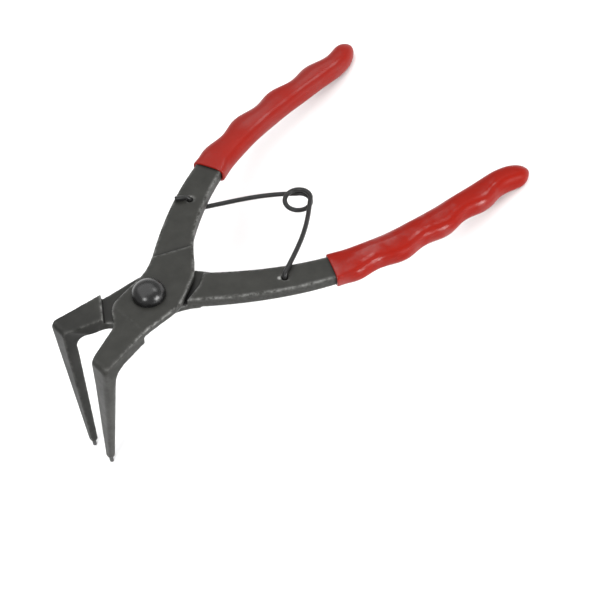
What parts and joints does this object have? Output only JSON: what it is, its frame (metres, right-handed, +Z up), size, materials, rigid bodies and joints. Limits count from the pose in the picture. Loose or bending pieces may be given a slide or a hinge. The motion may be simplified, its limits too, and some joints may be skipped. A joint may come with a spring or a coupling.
{
  "type": "circlip pliers",
  "caption": "Internal circlip pliers with long jaws bent to a right angle, crossed levers on a domed rivet, a wire opening spring and red dipped grips.",
  "frame": {"origin": "middle of the footprint, on the plane on which the tip pins and the ends of the grips stand", "axes": "+X from the tips towards the ends of the grips, +Y across the tool towards the front lever's handle, +Z up"},
  "size_m": [0.2075, 0.116, 0.0675],
  "materials": {
    "lever_steel": "blackened forged steel, satin",
    "rivet_steel": "blackened steel, glossy dome",
    "spring_steel": "dark tempered spring wire",
    "tip_steel": "dark hardened steel",
    "grip_vinyl": "soft red vinyl, glossy"
  },
  "bodies": {
    "rear_half": {"rear_lever": "lever_steel", "pivot_rivet": "rivet_steel", "rear_grip": "grip_vinyl", "rear_tip_pin": "tip_steel"},
    "front_half": {"front_lever": "lever_steel", "front_grip": "grip_vinyl", "front_tip_pin": "tip_steel"},
    "spring_rear": {"spring_rear_arm": "spring_steel"},
    "spring_front": {"spring_front_arm": "spring_steel"}
  },
  "joints": [
    {"name": "pivot", "type": "hinge", "parent": "rear_half", "child": "front_half", "pos_m": [-0.04703, 0, 0.05498], "axis": [-0.3273, 0, -0.9449], "range_deg": [0, 13], "stiffness_Nm_per_rad": 3.8, "springref_deg": -2.86},
    {"name": "spring_rear_swing", "type": "hinge", "parent": "rear_half", "child": "spring_rear", "pos_m": [-0.00412, -0.03, 0.04013], "axis": [-0.3273, 0, -0.9449], "range_deg": [0, 15.5]},
    {"name": "spring_flex", "type": "hinge", "parent": "spring_rear", "child": "spring_front", "pos_m": [0.02743, 0, 0.02919], "axis": [0.3273, 0, 0.9449], "range_deg": [0, 17.6]}
  ],
  "couplings": [
    {"joint": "spring_rear_swing", "follows": "pivot", "ratio": 1.164},
    {"joint": "spring_flex", "follows": "pivot", "ratio": 1.328}
  ]
}
